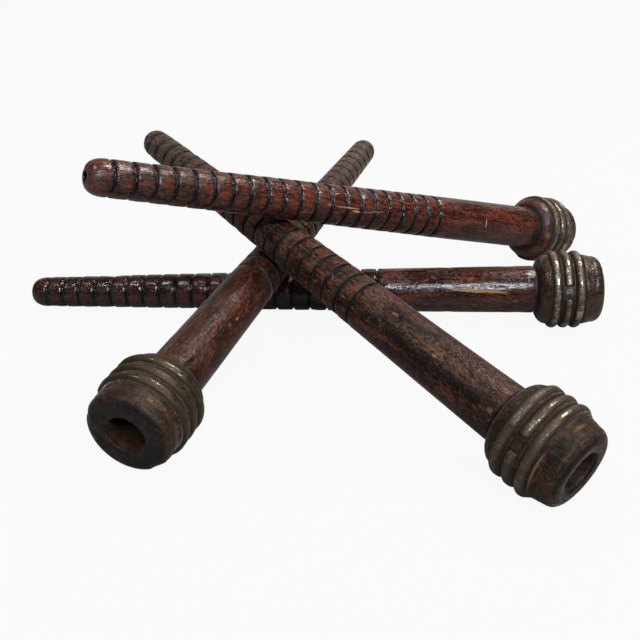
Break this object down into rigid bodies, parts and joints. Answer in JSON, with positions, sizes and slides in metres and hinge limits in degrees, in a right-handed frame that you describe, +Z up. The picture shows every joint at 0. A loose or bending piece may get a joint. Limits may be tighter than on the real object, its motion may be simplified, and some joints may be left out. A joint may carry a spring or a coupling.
{
  "type": "loom bobbin stack",
  "caption": "Loose crossed stack of turned wooden loom bobbins, each with a grooved tapered shank, a thick head with split steel rings and a spindle bore in its butt.",
  "frame": {"origin": "bottom centre of the stack's box, on the surface it lies on", "axes": "+Z up; the base bobbin's butt points nearly along +X; +Y is away from the side that the left and right bobbins' butts face"},
  "size_m": [0.2117, 0.2104, 0.0713],
  "materials": {
    "wood_mahogany": "red-brown turned hardwood under worn glossy varnish, with pale scratches and dark grooves",
    "wood_umber": "dark brown turned hardwood, worn satin varnish with dull scuffs and a grimy head",
    "wood_russet": "orange-brown turned hardwood, worn satin varnish and a grimy olive-brown head",
    "wood_black_brown": "near-black turned hardwood under glossy varnish, chipped to pale wood on the shank",
    "ring_steel": "round steel wire, worn bright on top, with brown tarnish between the rings"
  },
  "bodies": {
    "base_bobbin": {"base_bobbin_wood": "wood_black_brown", "base_bobbin_ring_outer": "ring_steel", "base_bobbin_ring_middle": "ring_steel", "base_bobbin_ring_inner": "ring_steel"},
    "left_bobbin": {"left_bobbin_wood": "wood_russet", "left_bobbin_ring_outer": "ring_steel", "left_bobbin_ring_middle": "ring_steel", "left_bobbin_ring_inner": "ring_steel"},
    "right_bobbin": {"right_bobbin_wood": "wood_umber", "right_bobbin_ring_outer": "ring_steel", "right_bobbin_ring_middle": "ring_steel", "right_bobbin_ring_inner": "ring_steel"},
    "top_bobbin": {"top_bobbin_wood": "wood_mahogany", "top_bobbin_ring_outer": "ring_steel", "top_bobbin_ring_middle": "ring_steel", "top_bobbin_ring_inner": "ring_steel"}
  },
  "joints": [
    {"name": "left_bobbin_lift", "type": "slide", "parent": "base_bobbin", "child": "left_bobbin", "axis": [0, 0, 1], "range_m": [0, 0.06]},
    {"name": "right_bobbin_lift", "type": "slide", "parent": "left_bobbin", "child": "right_bobbin", "axis": [0, 0, 1], "range_m": [0, 0.06]},
    {"name": "top_bobbin_lift", "type": "slide", "parent": "right_bobbin", "child": "top_bobbin", "axis": [0, 0, 1], "range_m": [0, 0.06]}
  ]
}
